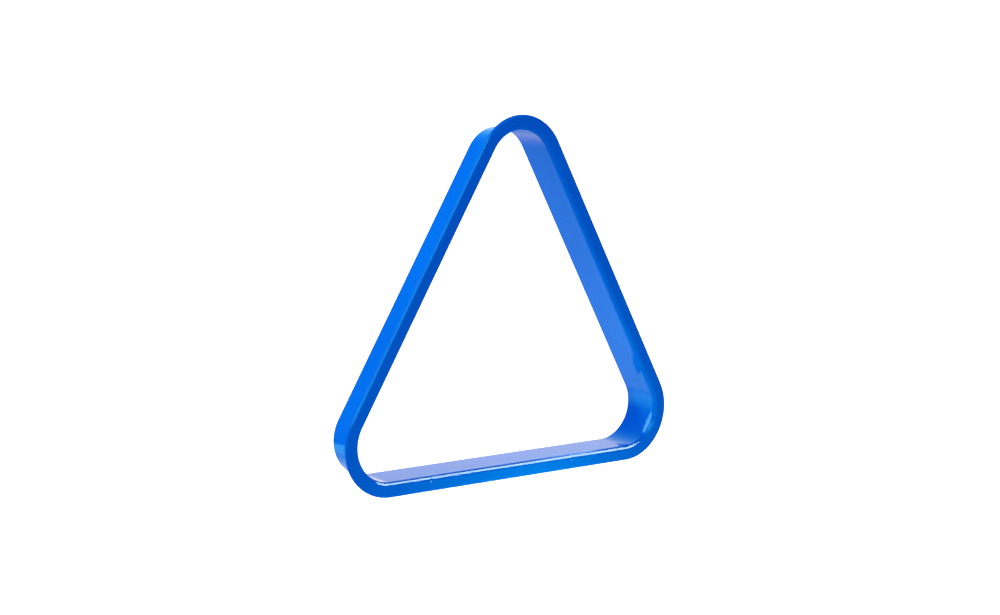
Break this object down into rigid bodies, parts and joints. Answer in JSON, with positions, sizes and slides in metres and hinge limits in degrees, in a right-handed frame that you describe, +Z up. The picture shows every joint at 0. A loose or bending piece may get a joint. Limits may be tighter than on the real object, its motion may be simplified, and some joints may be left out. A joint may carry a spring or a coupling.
{
  "type": "triangle rack",
  "caption": "Triangular frame that gathers pool balls tightly for the break, with a thin wall and a flange turned outward along its top.",
  "frame": {"origin": "on the table, under the middle of the rack's outline", "axes": "+Z up out of the table, +X along the base rail, +Y towards the apex"},
  "size_m": [0.3092, 0.2786, 0.0333],
  "materials": {
    "blue_plastic": "smooth moulded gloss"
  },
  "bodies": {
    "root": {"base_rail": "blue_plastic", "left_rail": "blue_plastic", "right_rail": "blue_plastic", "apex_corner": "blue_plastic", "left_corner": "blue_plastic", "right_corner": "blue_plastic"}
  },
  "joints": []
}
